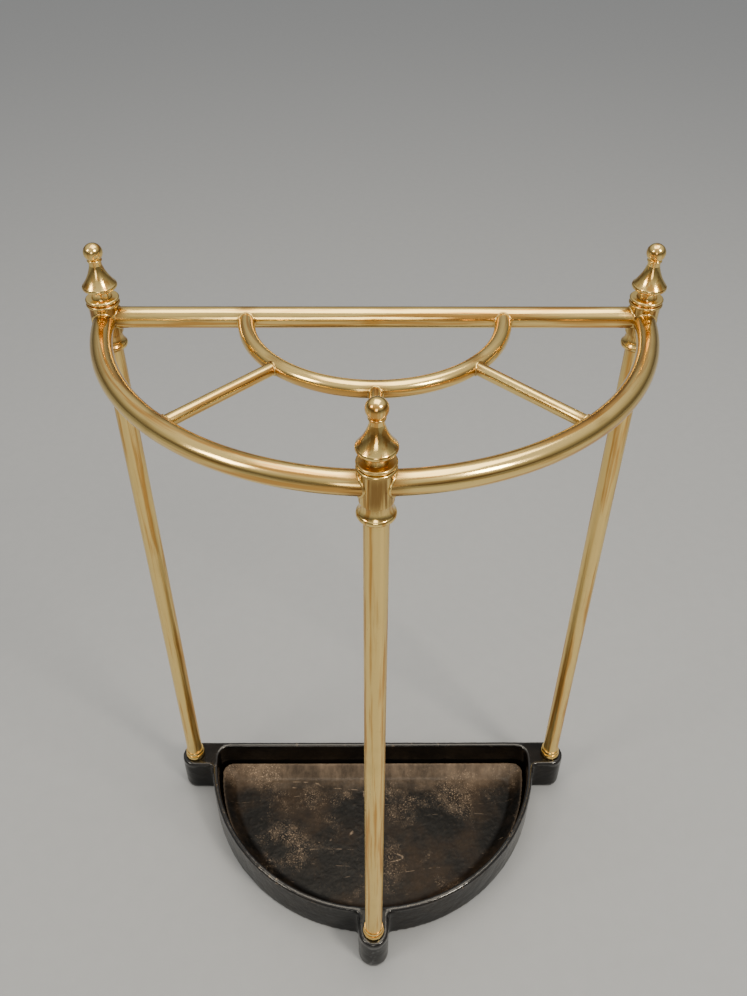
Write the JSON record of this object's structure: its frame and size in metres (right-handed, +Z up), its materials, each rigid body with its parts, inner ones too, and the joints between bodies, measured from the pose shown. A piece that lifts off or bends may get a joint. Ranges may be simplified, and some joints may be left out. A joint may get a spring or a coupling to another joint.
{
  "type": "umbrella stand",
  "caption": "Half-round umbrella stand: a brass ring rack with spokes on slender brass posts with turned finials, over a black cast-iron tray with a lift-out drip pan.",
  "frame": {"origin": "on the floor, under the middle of the stand's bounding box", "axes": "+X to the stand's right as seen from its round front, -Y to the front, +Z up"},
  "size_m": [0.4292, 0.2192, 0.6673],
  "materials": {
    "polished_brass": "polished, lightly aged",
    "black_enamel_iron": "glossy black enamel, worn on the edges",
    "worn_pan_iron": "black enamel worn to a mottled brown",
    "zinc_steel": "plain zinc"
  },
  "bodies": {
    "frame": {"base_casting": "black_enamel_iron", "left_post": "polished_brass", "left_foot_collar": "polished_brass", "left_socket": "polished_brass", "left_cap": "polished_brass", "left_finial": "polished_brass", "right_post": "polished_brass", "right_foot_collar": "polished_brass", "right_socket": "polished_brass", "right_cap": "polished_brass", "right_finial": "polished_brass", "front_post": "polished_brass", "front_foot_collar": "polished_brass", "front_socket": "polished_brass", "front_cap": "polished_brass", "front_finial": "polished_brass", "left_tie_rod": "zinc_steel", "left_washer": "zinc_steel", "left_nut": "zinc_steel", "right_tie_rod": "zinc_steel", "right_washer": "zinc_steel", "right_nut": "zinc_steel", "front_tie_rod": "zinc_steel", "front_washer": "zinc_steel", "front_nut": "zinc_steel", "back_rail": "polished_brass", "left_ring": "polished_brass", "right_ring": "polished_brass", "inner_ring": "polished_brass", "left_spoke": "polished_brass", "centre_spoke": "polished_brass", "right_spoke": "polished_brass"},
    "drip_pan": {"drip_pan": "worn_pan_iron"}
  },
  "joints": [
    {"name": "pan_lift", "type": "slide", "parent": "frame", "child": "drip_pan", "axis": [0, 0, 1], "range_m": [0, 0.06]}
  ]
}
